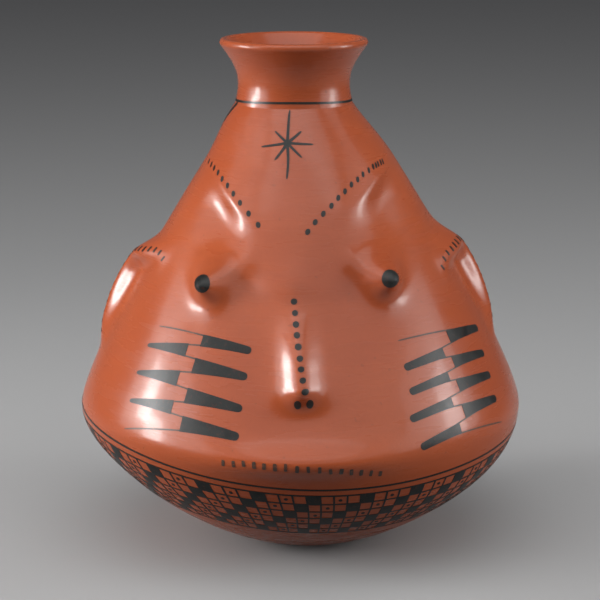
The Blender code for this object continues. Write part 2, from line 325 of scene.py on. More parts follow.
# Black slip, and the thin lines where it is laid on sparingly
SLIP_DARK = (0.007, 0.008, 0.0075, 1.0)
SLIP_LIGHT = (0.016, 0.018, 0.017, 1.0)
SLIP_WORN = 0.10
THIN_SLIP_DARK = (0.040, 0.030, 0.024, 1.0)
THIN_SLIP_LIGHT = (0.085, 0.050, 0.036, 1.0)
THIN_SLIP_WORN = 0.45
SLIP_SPECULAR = 0.36
SLIP_ROUGHNESS = 0.34
SLIP_STREAK_SCALE = 180.0
SLIP_STREAK_DETAIL = 3.0
SLIP_STREAK_DULLNESS = 0.06
SLIP_GRAIN_DETAIL = 3.0
SLIP_WORN_RANGE = (0.55, 0.75)

# Camera and the picture's frame
CAMERA_PLACE = (-0.0028, -0.8, 0.276)
CAMERA_AIM = (-0.0028, 0.0, 0.096)
CAMERA_LENS = 123.0
SENSOR_WIDTH = 36.0

# Lamps, as place, aim, (width, height), spread of the beam in degrees and power
LAMPS = {
    "left_core": ((-1.0, -0.20, 0.20), (0.0, 0.0, 0.10), (0.20, 0.28), 60.0, 0.46),
    "left_upper": ((-1.0, -0.04, 0.36), (0.0, 0.0, 0.10), (0.15, 0.22), 60.0, 0.30),
    "left_box": ((-1.0, -0.20, 0.36), (0.0, 0.0, 0.10), (0.95, 0.56), 110.0, 2.1),
    "right_core": ((1.0, -0.10, 0.30), (0.0, 0.0, 0.10), (0.22, 0.40), 60.0, 0.25),
    "right_box": ((1.0, -0.20, 0.40), (0.0, 0.0, 0.10), (0.90, 0.60), 110.0, 1.5),
    "over": ((0.0, -0.35, 1.35), (0.0, 0.0, 0.08), (1.50, 0.80), 180.0, 6.0),
    "high_front": ((-0.2, -1.30, 1.50), (0.0, 0.0, 0.10), (5.00, 1.40), 180.0, 22.0),
    "high_left": ((-1.90, -0.30, 1.80), (0.0, 0.0, 0.10), (1.50, 0.80), 180.0, 4.0),
    "high_right": ((1.90, -0.30, 1.80), (0.0, 0.0, 0.10), (1.50, 0.80), 180.0, 4.0),
}

# World and floor, whose bounce is the colour that lights the pot from below
WORLD_COLOUR = (0.095, 0.095, 0.10, 1.0)
FLOOR_COLOUR = (0.40, 0.40, 0.40, 1.0)
FLOOR_BOUNCE = (0.10, 0.10, 0.10, 1.0)
FLOOR_ROUGHNESS = 0.9
FLOOR_SIZE = 24.0

NECK_ROOT_Z = BELLY_HEIGHT + CONE_HEIGHT
LIP_Z = NECK_ROOT_Z + NECK_HEIGHT
HAND = np.random.default_rng(HAND_SEED)


def curve(start, start_handle, end, end_handle):
    """Points along a cubic curve with its handles given from its ends."""
    start = np.array(start)
    end = np.array(end)
    first = start + np.array(start_handle)
    second = end + np.array(end_handle)
    share = np.linspace(0.0, 1.0, CURVE_POINTS)[:, None]
    back = 1.0 - share
    ends = back**3 * start + share**3 * end
    return ends + 3.0 * back**2 * share * first + 3.0 * back * share**2 * second


def outer_profile():
    """The outer wall from the foot's edge to the lip, as (radius, height)."""
    foot = (FOOT_RADIUS, 0.0)
    belly = (BELLY_RADIUS, BELLY_HEIGHT)
    neck_root = (NECK_ROOT_RADIUS, NECK_ROOT_Z)
    lip = (LIP_RADIUS, LIP_Z)
    bowl = curve(foot, FOOT_HANDLE, belly, UNDER_BELLY_HANDLE)
    cone = curve(belly, OVER_BELLY_HANDLE, neck_root, CONE_TOP_HANDLE)
    neck = curve(neck_root, NECK_ROOT_HANDLE, lip, LIP_HANDLE)
    return np.vstack([bowl, cone[1:], neck[1:]])


def wall_normals(profile):
    """Directions square to the wall, pointing away from the clay."""
    ahead = np.gradient(profile, axis=0)
    outwards = np.stack([ahead[:, 1], -ahead[:, 0]], axis=1)
    return outwards / np.linalg.norm(outwards, axis=1)[:, None]


OUTER = outer_profile()
STEPS_ALONG = np.linalg.norm(np.diff(OUTER, axis=0), axis=1)
ALONG = np.concatenate([[0.0], np.cumsum(STEPS_ALONG)])
NECK_ROOT_ALONG = float(np.interp(NECK_ROOT_Z, OUTER[:, 1], ALONG))
THICKNESS = np.interp(ALONG, [NECK_ROOT_ALONG, ALONG[-1]], [WALL, LIP_THICKNESS])
INNER = OUTER - wall_normals(OUTER) * THICKNESS[:, None]


def along_at(height):
    """How far along the outer wall a height is."""
    return np.interp(height, OUTER[:, 1], ALONG)


def run_on(profile, alongs):
    """The (radius, height) points of a profile at distances along the outer wall."""
    radii = np.interp(alongs, ALONG, profile[:, 0])
    heights = np.interp(alongs, ALONG, profile[:, 1])
    return list(zip(radii, heights))


def swell(distance):
    """A smooth bump: one at the middle, a third at a distance of one, and nothing far away."""
    return np.exp(-distance * distance)


def ease(share):
    """A smooth step from nothing to one."""
    share = np.clip(share, 0.0, 1.0)
    return share * share * (3.0 - 2.0 * share)


def spread_out(turn, rise):
    """How far round the wall a place is from the middle of the face."""
    return np.interp(BELLY_HEIGHT + rise, OUTER[:, 1], OUTER[:, 0]) * np.radians(turn)


def mound(across, rise, centre, width, height):
    """An oval bump round a (turn, rise) centre."""
    middle = spread_out(*centre)
    return swell(np.hypot((across - middle) / width, (rise - centre[1]) / height))


def beside(across, rise, start, end):
    """A place's share of a line from start to end, how far it is below it and how far past its ends."""
    first = spread_out(*start)
    run = spread_out(*end) - first
    climb = end[1] - start[1]
    length = math.hypot(run, climb)
    share = ((across - first) * run + (rise - start[1]) * climb) / length**2
    below = ((across - first) * climb - (rise - start[1]) * run) / length
    beyond = length * np.abs(share - np.clip(share, 0.0, 1.0))
    return share, below * math.copysign(1.0, run), beyond


def scoop(distance):
    """A smooth dip that starts at nothing, is one at a distance of one and runs out slowly."""
    return distance**2 * np.exp(2.0 - 2.0 * distance)


def face_hollow(across, rise):
    """The shallow hollow that the features stand in, steeper at its top."""
    height = np.where(rise > FACE_HOLLOW[1], FACE_HOLLOW_ABOVE, FACE_HOLLOW_BELOW)
    return -FACE_HOLLOW_DEPTH * mound(across, rise, FACE_HOLLOW, FACE_HOLLOW_WIDTH, height)


def brow(across, rise, temple, root, socket_share):
    """A low edge from temple to root, and the eye socket that drops away below it."""
    share, below, beyond = beside(across, rise, temple, root)
    edge = BROW_HEIGHT * swell(np.hypot(below, beyond) / BROW_WIDTH)
    drop = np.clip(below / SOCKET_DROP, 0.0, None)
    socket = scoop(drop) * swell((share - socket_share) / SOCKET_SPREAD)
    return edge - SOCKET_DEPTH * socket


def eye(across, rise, centre, pupil, lid_end, corner):
    """A broad rise, the knob under the pupil, the lid's ridge and the hollow of the inner corner."""
    broad = mound(across, rise, centre, EYE_WIDTH, EYE_WIDTH)
    knob = mound(across, rise, pupil, KNOB_WIDTH, KNOB_WIDTH)
    share, below, beyond = beside(across, rise, pupil, lid_end)
    lid = swell(np.hypot(below, beyond) / LID_WIDTH) * (1.0 - LID_FADE * ease(share))
    hollow = mound(across, rise, corner, CORNER_WIDTH, CORNER_WIDTH)
    return EYE_PRESS * broad + KNOB_PRESS * knob + LID_PRESS * lid - CORNER_DEPTH * hollow


def nose(across, rise):
    """A broad rise with a narrow bridge on it, which both grow from the root to the tip."""
    share, below, beyond = beside(across, rise, NOSE_ROOT, NOSE_TIP)
    grown = ease(share / NOSE_GROWN_SHARE)
    aside = np.hypot(below, beyond)
    broad = NOSE_ROOT_PRESS + (NOSE_TIP_PRESS - NOSE_ROOT_PRESS) * grown
    return broad * swell(aside / NOSE_WIDTH) + BRIDGE_PRESS * grown * swell(aside / BRIDGE_WIDTH)


def under_nose(across, rise):
    """The shallow hollow below the nostrils."""
    return -UNDER_NOSE_DEPTH * mound(across, rise, UNDER_NOSE, UNDER_NOSE_WIDTH, UNDER_NOSE_HEIGHT)


def mouth(across, rise):
    """The mound that carries the mouth."""
    return MOUTH_PRESS * mound(across, rise, MOUTH, MOUTH_WIDTH, MOUTH_HEIGHT)


def out_of_ear(back, up):
    """How far out of the middle of a squared ear a place is, with its rim at one."""
    return (np.abs(back) ** EAR_SQUARENESS + np.abs(up) ** EAR_SQUARENESS) ** (1.0 / EAR_SQUARENESS)


def ear(turn, rise, side, middle, tilt):
    """A hooked ridge, open to the front, that stands out most at the back."""
    back = np.radians(side * turn - EAR_TURN) * EAR_RADIUS / EAR_HALF_WIDTH
    up = (rise - middle - tilt * back) / EAR_HALF_HEIGHT
    around = np.degrees(np.arctan2(np.abs(up), -back))
    opening = np.where(up > 0.0, EAR_OPENING, EAR_LOBE_OPENING)
    fade = np.where(up > 0.0, EAR_FADE, EAR_LOBE_FADE)
    hook = ease((around - opening) / fade)
    outside = (out_of_ear(back, up) - 1.0) * EAR_HALF_WIDTH
    rim = swell(outside / EAR_RIDGE_WIDTH) * hook
    press = EAR_LOBE_PRESS + (EAR_TOP_PRESS - EAR_LOBE_PRESS) * ease(0.5 + 0.5 * up)
    press = press + EAR_BACK_PRESS * swell(up / EAR_BACK_SPREAD)
    return press * rim


def relief(turn, rise):
    """How far the face is pressed out of the wall at a place."""
    across = spread_out(turn, rise)
    press = face_hollow(across, rise) + nose(across, rise) + mouth(across, rise)
    press = press + under_nose(across, rise)
    press = press + brow(across, rise, LEFT_BROW_TEMPLE, LEFT_BROW_ROOT, LEFT_SOCKET_SHARE)
    press = press + brow(across, rise, RIGHT_BROW_TEMPLE, RIGHT_BROW_ROOT, RIGHT_SOCKET_SHARE)
    press = press + eye(across, rise, LEFT_EYE, LEFT_PUPIL, LEFT_LID_END, LEFT_CORNER)
    press = press + eye(across, rise, RIGHT_EYE, RIGHT_PUPIL, RIGHT_LID_END, RIGHT_CORNER)
    press = press + ear(turn, rise, -1.0, LEFT_EAR_RISE, LEFT_EAR_TILT)
    return press + ear(turn, rise, 1.0, RIGHT_EAR_RISE, RIGHT_EAR_TILT)


def sway(height):
    """How far to the side the hand-built pot's axis has wandered at a height."""
    to_belly = ease((height - BELLY_SHIFT_START) / (BELLY_HEIGHT - BELLY_SHIFT_START))
    to_neck = ease((height - BELLY_HEIGHT - NECK_SHIFT_START) / (CONE_HEIGHT - NECK_SHIFT_START))
    return BELLY_SHIFT * to_belly + NECK_SHIFT * to_neck


def half_turned(turn):
    """A turn as an angle from -180 to 180 degrees."""
    return (np.asarray(turn) + 180.0) % 360.0 - 180.0


def pressed_out(turn, radius, height):
    """Points of the pot, for turns in degrees and the unpressed wall's radii and heights."""
    push = np.where(radius > TINY, relief(half_turned(turn), height - BELLY_HEIGHT), 0.0)
    angle = np.radians(turn)
    across = (radius + push) * np.sin(angle) + sway(height)
    return np.stack([across, -(radius + push) * np.cos(angle), height], axis=-1)


def wrap_ring(data, section, rows):
    """Wraps a flat grid round the pot, closer together at the face, with its rows along a section."""
    flat = np.empty(len(data.vertices) * 3)
    data.vertices.foreach_get("co", flat)
    points = flat.reshape(-1, 3)
    even_turn = 2.0 * math.pi * points[:, 0]
    turn = np.degrees(even_turn - CROWDING * np.sin(even_turn))
    row = np.rint((points[:, 1] + 0.5) * rows).astype(int) % len(section)
    radius, height = np.array(section)[row].T
    data.vertices.foreach_set("co", pressed_out(turn, radius, height).ravel())


def spaced(start, end, step):
    """Distances from start to end, evenly spaced but close together at both ends."""
    count = max(2, round(abs(end - start) / step))
    direction = math.copysign(1.0, end - start)
    edges = direction * np.array(EDGE_ROWS)
    inside = np.linspace(start, end, count + 1)[1:-1]
    return np.concatenate([[start], start + edges, inside, end - edges[::-1], [end]])


def turned_piece(node, section, closed):
    """A clay piece that stands for a node: its section carried round the pot and pressed into the face."""
    rows = len(section) if closed else len(section) - 1
    mesh = bmesh.new()
    bmesh.ops.create_grid(mesh, x_segments=STEPS, y_segments=rows, size=0.5)
    data = bpy.data.meshes.new(node + "_clay")
    mesh.to_mesh(data)
    wrap_ring(data, section, rows)
    mesh.clear()
    mesh.from_mesh(data)
    bmesh.ops.remove_doubles(mesh, verts=mesh.verts, dist=TINY)
    bmesh.ops.recalc_face_normals(mesh, faces=mesh.faces)
    mesh.to_mesh(data)
    mesh.free()
    data.shade_smooth()
    data.set_sharp_from_angle(angle=SHARP_ANGLE)
    piece = bpy.data.objects.new(node + "_clay", data)
    bpy.context.collection.objects.link(piece)
    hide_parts(node)
    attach(piece, "root")
    return piece


def coil_section(bottom, bottom_lap, top, top_lap):
    """A coil's section between two seams, each given by its outer edge's distance along the wall."""
    outside = run_on(OUTER, spaced(bottom, top, OUTER_ROW))
    inside = run_on(INNER, spaced(top + top_lap, bottom + bottom_lap, INNER_ROW))
    return outside + inside


def base_section(top):
    """The base's section, from the middle of the foot out, up and back to the middle of the floor."""
    outside = run_on(OUTER, spaced(0.0, top, OUTER_ROW))
    inside = run_on(INNER, spaced(top + SEAM_LAP, 0.0, INNER_ROW))
    return [(0.0, 0.0)] + outside + inside + [(0.0, inside[-1][1])]


def rim_section(bottom):
    """The rim's section, with the lip rounded over from the outer wall to the inner wall."""
    outside = run_on(OUTER, spaced(bottom, ALONG[-1], OUTER_ROW))
    inside = run_on(INNER, spaced(ALONG[-1], bottom + RIM_SEAM_LAP, INNER_ROW))
    outer_edge = np.array(outside[-1])
    inner_edge = np.array(inside[0])
    middle = 0.5 * (outer_edge + inner_edge)
    spread = 0.5 * (outer_edge - inner_edge)
    upwards = np.array([-spread[1], spread[0]])
    rounds = []
    for angle in np.linspace(0.0, math.pi, LIP_POINTS + 2)[1:-1]:
        rounds.append(tuple(middle + spread * math.cos(angle) + upwards * math.sin(angle)))
    return outside + rounds + inside


def clay_walls():
    """The six clay pieces, from the foot to the lip."""
    base_top_height = BELLY_HEIGHT - BASE_BELOW_BELLY
    base_top = along_at(base_top_height)
    lower_top = along_at(base_top_height + LOWER_COIL_HEIGHT)
    face_top = along_at(base_top_height + LOWER_COIL_HEIGHT + FACE_COIL_HEIGHT)
    rim_bottom = along_at(LIP_Z - RIM_COIL_HEIGHT)
    lower = coil_section(base_top, SEAM_LAP, lower_top, SEAM_LAP)
    face = coil_section(lower_top, SEAM_LAP, face_top, SEAM_LAP)
    forehead = coil_section(face_top, SEAM_LAP, NECK_ROOT_ALONG, SEAM_LAP)
    neck = coil_section(NECK_ROOT_ALONG, SEAM_LAP, rim_bottom, RIM_SEAM_LAP)
    return [
        turned_piece("base_tortilla", base_section(base_top), False),
        turned_piece("lower_wall_coil", lower, True),
        turned_piece("face_wall_coil", face, True),
        turned_piece("forehead_coil", forehead, True),
        turned_piece("neck_coil", neck, True),
        turned_piece("rim_coil", rim_section(rim_bottom), True),
    ]


def wall_point(turn, along):
    """Points of the pressed outer wall."""
    radius = np.interp(along, ALONG, OUTER[:, 0])
    height = np.interp(along, ALONG, OUTER[:, 1])
    return pressed_out(turn, radius, height)


def lifted_point(turn, along, lift):
    """Points just off the pressed outer wall, square to it."""
    across = wall_point(turn + TURN_NUDGE, along) - wall_point(turn - TURN_NUDGE, along)
    upwards = wall_point(turn, along + ALONG_NUDGE) - wall_point(turn, along - ALONG_NUDGE)
    outwards = np.cross(across, upwards)
    outwards /= np.linalg.norm(outwards, axis=-1)[..., None]
    return wall_point(turn, along) + lift * outwards


def along_of(rise):
    """How far along the wall a rise is."""
    return along_at(BELLY_HEIGHT + rise)


def metres_per_degree(along):
    """How far a degree goes round the unpressed wall."""
    return np.interp(along, ALONG, OUTER[:, 0]) * math.radians(1.0)


def bowed(ends, bulge=(0.0, 0.0)):
    """A path by the share along it, between two (turn, rise) ends, that bulges in the middle."""
    (start_turn, start_rise), (end_turn, end_rise) = ends

    def path(share):
        bow = 4.0 * share * (1.0 - share)
        turn = start_turn + (end_turn - start_turn) * share + bulge[0] * bow
        rise = start_rise + (end_rise - start_rise) * share + bulge[1] * bow
        return turn, along_of(rise)

    return path


def upright(spot, length, slant=0.0):
    """A short path up the wall through a (turn, along) spot, slanted in degrees to the viewer's right."""
    turn, along = spot
    lean = math.radians(slant)

    def path(share):
        reach = (share - 0.5) * length
        aside = reach * math.sin(lean) / metres_per_degree(along)
        return turn + aside, along + reach * math.cos(lean)

    return path


def endless(width):
    """Half the width of a brush line with no ends."""
    return lambda share: np.full(np.shape(share), 0.5 * width)


def rounded(width):
    """Half the width of an oval mark along its length."""
    return lambda share: 0.5 * width * np.sqrt(np.clip(1.0 - (2.0 * share - 1.0) ** 2, 0.0, 1.0))


def blunt(width):
    """Half the width of a brush line with rounded ends."""

    def half_width(share):
        ends = np.clip(1.0 - (2.0 * share - 1.0) ** BLUNT_POWER, 0.0, 1.0)
        return 0.5 * width * ends**BLUNT_ROUNDING

    return half_width


def tapered(width):
    """Half the width of a brush line that thins a little towards its rounded end."""

    def half_width(share):
        end = np.clip(1.0 - share**TAPER_POWER, 0.0, 1.0)
        return 0.5 * width * (1.0 - TAPER_THINNING * share) * end**TAPER_ROUNDING

    return half_width


def path_length(path):
    """A path's length on the unpressed wall."""
    turn, along = path(np.linspace(0.0, 1.0, PATH_POINTS))
    metre = metres_per_degree(along)[1:]
    return float(np.hypot(np.diff(turn) * metre, np.diff(along)).sum())


def put_on_wall(corners, turn, along, lift=SLIP_LIFT):
    """Moves a flat patch's corners onto the wall."""
    for corner, point in zip(corners, lifted_point(turn, along, lift)):
        corner.co = point


def stroke(mesh, path, half_width, lift=SLIP_LIFT):
    """One brush stroke along a path, with its facets shorter at both ends."""
    middle = float(half_width(np.array(0.5)))
    steps = max(LEAST_STEPS, round(path_length(path) / SLIP_STEP))
    across = max(2, round(2.0 * middle / SLIP_STEP))
    corners = bmesh.ops.create_grid(mesh, x_segments=steps, y_segments=across, size=0.5)["verts"]
    share = 0.5 + 0.5 * np.sin(np.pi * np.clip([corner.co.x for corner in corners], -0.5, 0.5))
    side = 2.0 * np.array([corner.co.y for corner in corners])
    turn, along = path(share)
    next_turn, next_along = path(share + SHARE_NUDGE)
    last_turn, last_along = path(share - SHARE_NUDGE)
    metre = metres_per_degree(along)
    run = (next_turn - last_turn) * metre
    climb = next_along - last_along
    offset = side * half_width(share) / np.hypot(run, climb)
    put_on_wall(corners, turn - offset * climb / metre, along + offset * run, lift)


def wobbled(spot):
    """A (turn, along) spot as a hand would hit it."""
    turn, along = spot
    aside, up = HAND.normal(0.0, HAND_WOBBLE, 2)
    return turn + aside / metres_per_degree(along), along + up


def painted_piece(name, mesh, finish):
    """A layer of slip on the clay: closed, very thin and with crisp edges."""
    bmesh.ops.remove_doubles(mesh, verts=mesh.verts, dist=TINY)
    bmesh.ops.solidify(mesh, geom=mesh.faces[:], thickness=SLIP_THICKNESS)
    data = bpy.data.meshes.new(name)
    mesh.to_mesh(data)
    mesh.free()
    data.shade_smooth()
    data.set_sharp_from_angle(angle=SHARP_ANGLE)
    data.materials.append(finish)
    piece = bpy.data.objects.new(name, data)
    bpy.context.collection.objects.link(piece)
    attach(piece, "root")


def ring(mesh, rise_at):
    """A line right round the pot, painted part by part, whose rise follows the turn."""
    for start in range(0, 360, RING_PART):

        def path(share, start=start):
            turn = start + RING_PART * share
            return turn, along_of(rise_at(turn))

        stroke(mesh, path, endless(LINE_WIDTH))


def neck_rise(turn):
    """The rise of the line round the neck's root, which is a little higher in front."""
    front = np.clip(np.cos(np.radians(turn)), 0.0, 1.0) ** 2
    return NECK_LINE_RISE + NECK_LINE_FRONT_RISE * front


def neck_lines(finish):
    """The line round the neck's root and the one that runs down from it."""
    mesh = bmesh.new()
    ring(mesh, neck_rise)
    stroke(mesh, bowed((HAIR_LINE_TOP, HAIR_LINE_END)), blunt(HAIR_LINE_WIDTH))
    painted_piece("neck_lines", mesh, finish)


def star(finish):
    """The star on the forehead."""
    mesh = bmesh.new()
    for tip in STAR_LONG_TIPS + STAR_SHORT_TIPS:
        stroke(mesh, bowed((STAR, tip)), tapered(STAR_WIDTH))
    painted_piece("star", mesh, finish)


def brow_marks(name, ends, bulge, shares, slant, finish):
    """A row of marks along a brow, which grow from ticks into dots."""
    mesh = bmesh.new()
    path = bowed(ends, bulge)
    for share in shares:
        length = TICK_LENGTH + (DOT_LENGTH - TICK_LENGTH) * share
        width = TICK_WIDTH + (DOT_WIDTH - TICK_WIDTH) * share
        stroke(mesh, upright(wobbled(path(share)), length, slant), rounded(width))
    painted_piece(name, mesh, finish)


def pupils(finish):
    """The pupils."""
    mesh = bmesh.new()
    for turn, rise in (LEFT_PUPIL, RIGHT_PUPIL):
        slant = math.copysign(PUPIL_SLANT, turn)
        spot = (turn, along_of(rise))
        stroke(mesh, upright(spot, PUPIL_HEIGHT, slant), rounded(PUPIL_WIDTH), PUPIL_LIFT)
    painted_piece("pupils", mesh, finish)


def nose_marks(finish):
    """The row of dots down the nose and the two nostrils."""
    mesh = bmesh.new()
    path = bowed(NOSE_DOTS)
    for share in np.linspace(0.0, 1.0, NOSE_DOT_COUNT):
        size = NOSE_DOT_SIZE * HAND.uniform(*NOSE_DOT_SPREAD)
        stroke(mesh, upright(wobbled(path(share)), size), rounded(size))
    for turn, rise in NOSTRILS:
        stroke(mesh, upright((turn, along_of(rise)), NOSTRIL_HEIGHT), rounded(NOSTRIL_WIDTH))
    painted_piece("nose_marks", mesh, finish)


def mouth_ticks(finish):
    """The row of ticks that is the mouth."""
    mesh = bmesh.new()
    path = bowed(MOUTH_TICKS, MOUTH_TICKS_BULGE)
    for share in np.linspace(0.0, 1.0, MOUTH_TICK_COUNT):
        height = MOUTH_TICK_HEIGHT * HAND.uniform(*MOUTH_TICK_HEIGHT_SPREAD)
        width = MOUTH_TICK_WIDTH * HAND.uniform(*MOUTH_TICK_WIDTH_SPREAD)
        spot = wobbled(path(share))
        slant = HAND.normal(0.0, MOUTH_TICK_TILT)
        stroke(mesh, upright(spot, height, slant), blunt(width))
    painted_piece("mouth_ticks", mesh, finish)


def between(first, second, share):
    """A place between two (turn, rise) places."""
    return tuple((1.0 - share) * a + share * b for a, b in zip(first, second))


def wedge(mesh, tip, upper, lower, fill, slimness, tip_width, tip_share):
    """A filled corner of a zigzag: it widens from its tip between the lines to two other corners."""
    middle = between(upper, lower, 0.5)
    gap = along_of(upper[1]) - along_of(lower[1])
    base_width = gap * fill * slimness + LINE_WIDTH

    def half_width(share):
        blunted = np.clip(1.0 - (1.0 - share / tip_share) ** 2, 0.0, 1.0) ** 0.5
        blunted = np.where(share > tip_share, 1.0, blunted)
        return 0.5 * (tip_width + (base_width - tip_width) * share) * blunted

    whole = bowed((tip, middle), CHEEK_BULGE)
    stroke(mesh, lambda share: whole(fill * share), half_width)


def cheek(name, first, second, fills, tips, slimness, finish, fine_finish):
    """A zigzag of thin lines between two columns of corners, with its corners filled in."""
    lines = bmesh.new()
    wedges = bmesh.new()
    corners = [corner for pair in zip(first, second) for corner in pair]
    corners = corners + list(first[len(second):])
    for start, end in zip(corners, corners[1:]):
        stroke(lines, bowed((start, end), CHEEK_BULGE), blunt(FINE_LINE_WIDTH), FINE_LIFT)
    for index in range(1, len(corners) - 1):
        fill = fills[index % 2]
        tip = tips[index % 2]
        wedge(wedges, corners[index], corners[index - 1], corners[index + 1], fill, slimness, *tip)
    painted_piece(name + "_lines", lines, fine_finish)
    painted_piece(name + "_wedges", wedges, finish)


def ear_ticks(finish):
    """Ticks across the rims of both ears."""
    mesh = bmesh.new()
    ears = ((-1.0, LEFT_EAR_RISE, LEFT_EAR_TILT), (1.0, RIGHT_EAR_RISE, RIGHT_EAR_TILT))
    for side, middle, tilt in ears:
        for around in np.linspace(EAR_TICKS_START, EAR_TICKS_END, EAR_TICK_COUNT):
            angle = math.radians(around)
            up = math.sin(angle)
            back = -math.cos(angle)
            reach = EAR_TICKS_OUT / out_of_ear(back, up)
            turn = EAR_TURN + math.degrees(back * reach * EAR_HALF_WIDTH / EAR_RADIUS)
            rise = middle + reach * (up * EAR_HALF_HEIGHT + back * tilt)
            spot = wobbled((side * turn, along_of(rise)))
            slant = side * EAR_TICK_SLANT * (around - 90.0)
            stroke(mesh, upright(spot, EAR_TICK_LENGTH, slant), blunt(EAR_TICK_WIDTH))
    painted_piece("ear_ticks", mesh, finish)


def belly_rise(turn):
    """The rise of the line under the belly."""
    dip = swell(half_turned(turn) / BELLY_LINE_DIP_WIDTH)
    return BELLY_LINE_RISE + BELLY_LINE_DIP * dip + BELLY_LINE_LEAN * np.sin(np.radians(turn))


def belly_line(finish):
    """The line under the belly, above the checked band."""
    mesh = bmesh.new()
    ring(mesh, belly_rise)
    painted_piece("belly_line", mesh, finish)


def band_place(column, row):
    """The (turn, along) of places in the checked band, counted in squares round it and rows down it."""
    turn = BLOCK_TURN + (column - 0.5) * 360.0 / CELLS_ROUND
    top = along_of(belly_rise(turn)) - BAND_BELOW_LINE
    return turn, top - row * CELL_HEIGHT


def facet_edges(count):
    """Where the facets of a row of squares start: a line, then the square itself."""
    inside = np.linspace(CELL_LINE_SHARE, 1.0, CELL_FACETS)
    one = np.concatenate([[0.0], inside[:-1]])
    return np.concatenate([one + cell for cell in range(count)] + [[float(count)]])


def painted_square(column, row):
    """Whether a facet of the band is painted: on a line between squares, or in a black square."""
    on_line = column % CELL_FACETS == 0 or row % CELL_FACETS == 0
    return on_line or (column // CELL_FACETS + row // CELL_FACETS) % CELL_CYCLE == 0


def checked_band(finish):
    """The band of squares, as one net of lines with the blocks filled in."""
    columns = facet_edges(CELLS_ROUND)
    rows = np.append(facet_edges(CELL_ROWS), CELL_ROWS + CELL_LINE_SHARE)
    mesh = bmesh.new()
    bmesh.ops.create_grid(mesh, x_segments=len(columns) - 1, y_segments=len(rows) - 1, size=0.5)
    column = [round((corner.co.x + 0.5) * (len(columns) - 1)) for corner in mesh.verts]
    row = [round((0.5 - corner.co.y) * (len(rows) - 1)) for corner in mesh.verts]
    bare = []
    for face in mesh.faces:
        middle = face.calc_center_median()
        at = int((middle.x + 0.5) * (len(columns) - 1)), int((0.5 - middle.y) * (len(rows) - 1))
        if not painted_square(*at):
            bare.append(face)
    put_on_wall(mesh.verts, *band_place(columns[column], rows[row]))
    bmesh.ops.delete(mesh, geom=bare, context="FACES")
    painted_piece("checked_band", mesh, finish)


def band_dots(finish):
    """The dots in the dotted squares."""
    mesh = bmesh.new()
    middle = 0.5 + 0.5 * CELL_LINE_SHARE
    for row in range(CELL_ROWS):
        for column in range(CELLS_ROUND):
            if (column + row) % CELL_CYCLE == DOTTED_CELL:
                spot = wobbled(band_place(column + middle, row + middle))
                stroke(mesh, upright(spot, CELL_DOT_SIZE), rounded(CELL_DOT_SIZE))
    painted_piece("band_dots", mesh, finish)


def paint(slip, thin_slip):
    """Everything that is painted on the pot."""
    neck_lines(slip)
    star(slip)
    left_row = (LEFT_MARKS, LEFT_MARKS_BULGE, LEFT_MARKS_SHARES, LEFT_MARKS_SLANT)
    right_row = (RIGHT_MARKS, RIGHT_MARKS_BULGE, RIGHT_MARKS_SHARES, RIGHT_MARKS_SLANT)
    brow_marks("left_brow_marks", *left_row, slip)
    brow_marks("right_brow_marks", *right_row, slip)
    pupils(slip)
    nose_marks(slip)
    mouth_ticks(thin_slip)
    left_fills = (LEFT_OUTER_FILL, LEFT_INNER_FILL)
    left_tips = (FINE_TIP, BLUNT_TIP)
    left_zigzag = (LEFT_OUTER_CORNERS, LEFT_INNER_CORNERS, left_fills, left_tips, LEFT_SLIMNESS)
    cheek("left_cheek", *left_zigzag, slip, thin_slip)
    right_fills = (RIGHT_INNER_FILL, RIGHT_OUTER_FILL)
    right_tips = (BLUNT_TIP, BLUNT_TIP)
    right_zigzag = (RIGHT_INNER_CORNERS, RIGHT_OUTER_CORNERS, right_fills, right_tips, RIGHT_SLIMNESS)
    cheek("right_cheek", *right_zigzag, slip, thin_slip)
    ear_ticks(slip)
    belly_line(slip)
    checked_band(slip)
    band_dots(slip)


def floor_material():
    """A plain pale finish that throws only a little light back up at the pot."""
    material = bpy.data.materials.new("floor")
    material.use_nodes = True
    tree = material.node_tree
    shader = tree.nodes["Principled BSDF"]
    shader.inputs["Roughness"].default_value = FLOOR_ROUGHNESS
    rays = tree.nodes.new("ShaderNodeLightPath")
    colour = blended(material, rays.outputs["Is Diffuse Ray"], FLOOR_COLOUR, FLOOR_BOUNCE)
    tree.links.new(colour, shader.inputs["Base Color"])
    return material


def new_finish(name, roughness):
    """An empty finish with its shader and a source of places on the pot."""
    material = bpy.data.materials.new(name)
    material.use_nodes = True
    nodes = material.node_tree.nodes
    shader = nodes["Principled BSDF"]
    shader.inputs["Roughness"].default_value = roughness
    return material, shader, nodes.new("ShaderNodeTexCoord").outputs["Object"]


def grain(material, places, scale, detail, stretch=(1.0, 1.0, 1.0)):
    """A noise over the pot, stretched along the axes."""
    tree = material.node_tree
    mapping = tree.nodes.new("ShaderNodeMapping")
    mapping.inputs["Scale"].default_value = stretch
    tree.links.new(places, mapping.inputs["Vector"])
    noise = tree.nodes.new("ShaderNodeTexNoise")
    noise.inputs["Scale"].default_value = scale
    noise.inputs["Detail"].default_value = detail
    tree.links.new(mapping.outputs["Vector"], noise.inputs["Vector"])
    return noise.outputs["Fac"]


def ranged(material, value, low, high, from_low=NOISE_RANGE[0], from_high=NOISE_RANGE[1]):
    """A value brought from one range into another."""
    tree = material.node_tree
    node = tree.nodes.new("ShaderNodeMapRange")
    node.inputs["From Min"].default_value = from_low
    node.inputs["From Max"].default_value = from_high
    node.inputs["To Min"].default_value = low
    node.inputs["To Max"].default_value = high
    tree.links.new(value, node.inputs["Value"])
    return node.outputs["Result"]


